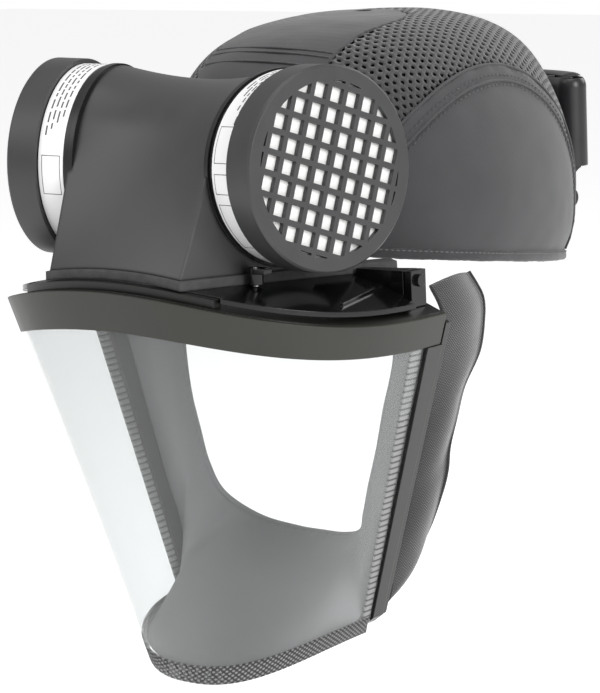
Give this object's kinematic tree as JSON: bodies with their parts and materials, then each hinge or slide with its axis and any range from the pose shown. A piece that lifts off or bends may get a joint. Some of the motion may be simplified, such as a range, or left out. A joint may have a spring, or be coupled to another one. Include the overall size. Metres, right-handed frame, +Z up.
{
  "type": "powered air respirator",
  "caption": "Bump cap with a front blower, two round side filters, a clear face visor on a brow band, a face lining with fleece cape, and a rear battery.",
  "frame": {"origin": "centre of the cap's rim, where a head carries it", "axes": "+Z up, the wearer faces -Y, +X is the wearer's left"},
  "size_m": [0.2264, 0.3777, 0.3271],
  "materials": {
    "housing plastic": "satin",
    "filter plastic": "satin",
    "gasket rubber": "matte",
    "label paper": "satin",
    "filter paper": "matte",
    "inner plastic": "matte",
    "steel": "brushed",
    "circuit board": "satin",
    "shell plastic": "satin",
    "cap cloth": "matte",
    "air mesh": "matte",
    "foam": "matte",
    "peak plastic": "gloss",
    "lens": "gloss",
    "band rubber": "satin",
    "channel plastic": "satin",
    "hook tape": "matte",
    "lining cloth": "matte",
    "fleece": "matte",
    "battery plastic": "satin",
    "lead sheath": "satin"
  },
  "bodies": {
    "cap": {"blower_front_cover": "housing plastic", "blower_rear_cover": "housing plastic", "filter_seat_left": "housing plastic", "filter_seat_right": "housing plastic", "base_gasket": "gasket rubber", "fan_scroll": "inner plastic", "motor_bracket": "inner plastic", "headband": "inner plastic", "warning_sounder": "inner plastic", "motor_can": "steel", "latch_pin_left": "steel", "latch_pin_right": "steel", "control_board": "circuit board", "cap_shell": "shell plastic", "cover_tongue": "cap cloth", "cover_side_left": "cap cloth", "cover_side_right": "cap cloth", "rim_binding": "cap cloth", "cover_mesh": "air mesh", "sweatband": "foam", "crown_pad": "foam", "peak_plate": "peak plastic", "visor_arm_left": "peak plastic", "visor_arm_right": "peak plastic", "battery_holder": "battery plastic", "power_lead": "lead sheath"},
    "impeller": {"impeller": "inner plastic", "motor_shaft": "steel"},
    "visor": {"lens": "lens", "brow_band": "band rubber", "visor_frame": "channel plastic", "clip_bar": "channel plastic", "side_channel_left": "channel plastic", "side_channel_right": "channel plastic", "side_strip_left": "hook tape", "side_strip_right": "hook tape", "hem_strip": "hook tape", "face_seal": "lining cloth", "cape": "fleece", "temple_hook_left": "peak plastic", "temple_hook_right": "peak plastic"},
    "battery": {"battery_case": "battery plastic", "battery_cells": "battery plastic", "battery_floor": "battery plastic"},
    "power_button": {"power_button": "battery plastic"},
    "release_button": {"release_button": "battery plastic"},
    "left_latch": {"latch_left": "peak plastic"},
    "right_latch": {"latch_right": "peak plastic"},
    "left_filter": {"filter_body_left": "filter plastic", "filter_label_left": "label paper", "prefilter_left": "filter paper", "filter_gasket_left": "gasket rubber", "filter_media_left": "filter paper"},
    "left_filter_cap": {"filter_cap_left": "filter plastic"},
    "right_filter": {"filter_body_right": "filter plastic", "filter_label_right": "label paper", "prefilter_right": "filter paper", "filter_gasket_right": "gasket rubber", "filter_media_right": "filter paper"},
    "right_filter_cap": {"filter_cap_right": "filter plastic"}
  },
  "joints": [
    {"name": "impeller_spin", "type": "hinge", "parent": "cap", "child": "impeller", "pos_m": [0, -0.141, 0.059], "axis": [1, 0, 0], "continuous": true},
    {"name": "visor_release", "type": "hinge", "parent": "cap", "child": "visor", "pos_m": [0.098, -0.101, 0.0015], "axis": [1, 0, 0], "range_deg": [0, 12]},
    {"name": "battery_lift", "type": "slide", "parent": "cap", "child": "battery", "axis": [0, 0, 1], "range_m": [0, 0.03]},
    {"name": "power_press", "type": "slide", "parent": "cap", "child": "power_button", "axis": [0, -1, 0], "range_m": [0, 0.0015], "stiffness_N_per_m": 600},
    {"name": "release_press", "type": "slide", "parent": "cap", "child": "release_button", "axis": [0, -1, 0], "range_m": [0, 0.0012], "stiffness_N_per_m": 600},
    {"name": "left_filter_twist", "type": "hinge", "parent": "cap", "child": "left_filter", "pos_m": [0.089, -0.151, 0.0615], "axis": [0.9738, -0.2248, 0.0349], "range_deg": [0, 40]},
    {"name": "left_cap_pull", "type": "slide", "parent": "left_filter", "child": "left_filter_cap", "axis": [0.9738, -0.2248, 0.0349], "range_m": [0, 0.03]},
    {"name": "left_latch_turn", "type": "hinge", "parent": "cap", "child": "left_latch", "pos_m": [0.057, -0.172, 0.0124], "axis": [0, 0, 1], "range_deg": [0, 90]},
    {"name": "right_filter_twist", "type": "hinge", "parent": "cap", "child": "right_filter", "pos_m": [-0.089, -0.151, 0.0615], "axis": [-0.9738, -0.2248, 0.0349], "range_deg": [-40, 0]},
    {"name": "right_cap_pull", "type": "slide", "parent": "right_filter", "child": "right_filter_cap", "axis": [-0.9738, -0.2248, 0.0349], "range_m": [0, 0.03]},
    {"name": "right_latch_turn", "type": "hinge", "parent": "cap", "child": "right_latch", "pos_m": [-0.057, -0.172, 0.0124], "axis": [0, 0, -1], "range_deg": [0, 90]}
  ]
}
